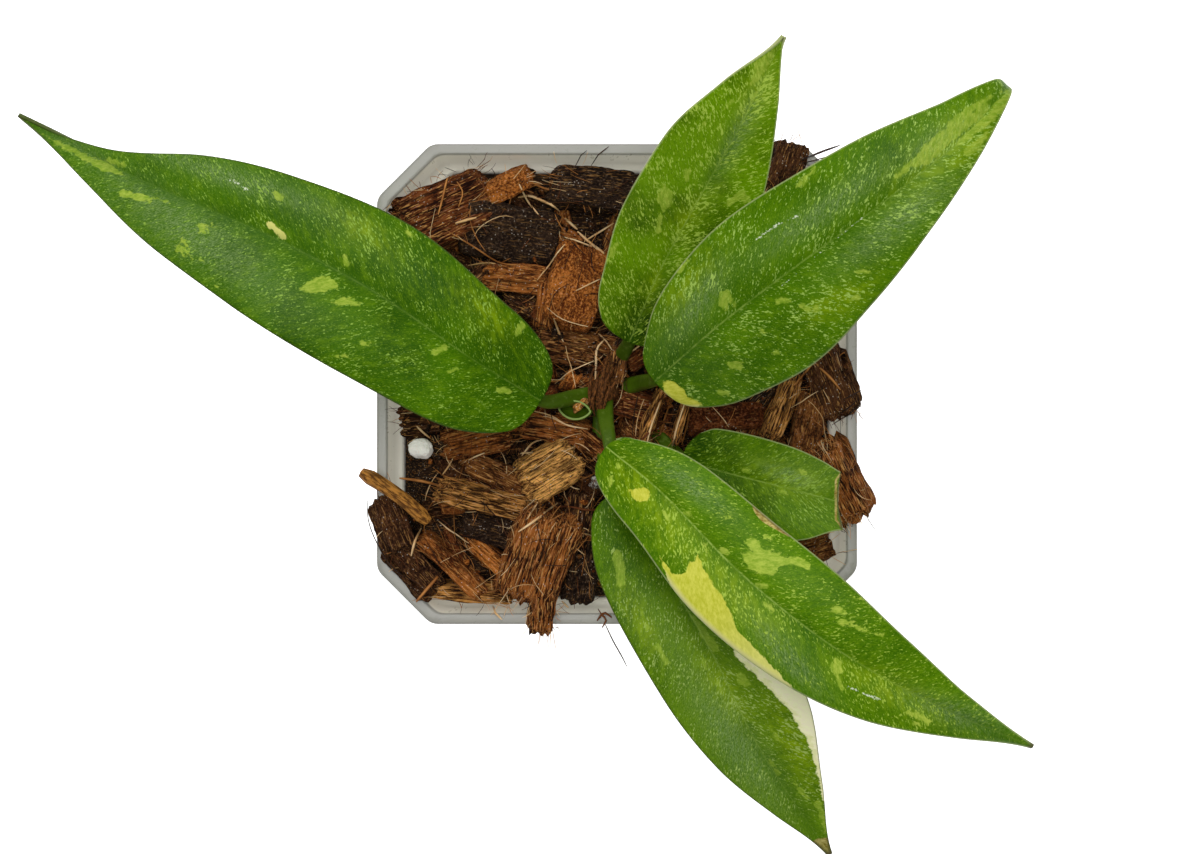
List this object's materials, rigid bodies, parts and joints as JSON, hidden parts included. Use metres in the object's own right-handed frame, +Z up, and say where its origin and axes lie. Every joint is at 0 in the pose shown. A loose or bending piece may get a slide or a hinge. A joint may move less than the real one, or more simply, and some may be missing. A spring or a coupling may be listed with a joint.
{
  "type": "potted ring of fire philodendron",
  "caption": "Young aroid house plant with long speckled green and lime leaves, rooted in chunky coconut husk mix in a square clear nursery pot.",
  "frame": {"origin": "middle of the pot's flat underside, on the surface it stands on", "axes": "+Z up out of the pot, +X and +Y along the sides of the square pot; the longest leaf points to -X and +Y"},
  "size_m": [0.1447, 0.1134, 0.1085],
  "materials": {
    "clear_pot": "milky translucent plastic, slightly glossy",
    "husk_mix": "dry fibrous coconut husk and bark, matte",
    "perlite": "white porous grain, matte",
    "dry_stick": "dry bark, matte",
    "stem_bark": "dried fibrous sheath over a green stem",
    "leaf_green": "semi-gloss leaf with lime speckles and patches"
  },
  "bodies": {
    "root": {"pot": "clear_pot", "potting_mix": "husk_mix", "perlite_grain": "perlite", "loose_stick": "dry_stick", "stem": "stem_bark", "leaf_west": "leaf_green", "leaf_north": "leaf_green", "leaf_northeast": "leaf_green", "leaf_southeast": "leaf_green", "leaf_south": "leaf_green", "leaf_cut": "leaf_green"}
  },
  "joints": []
}
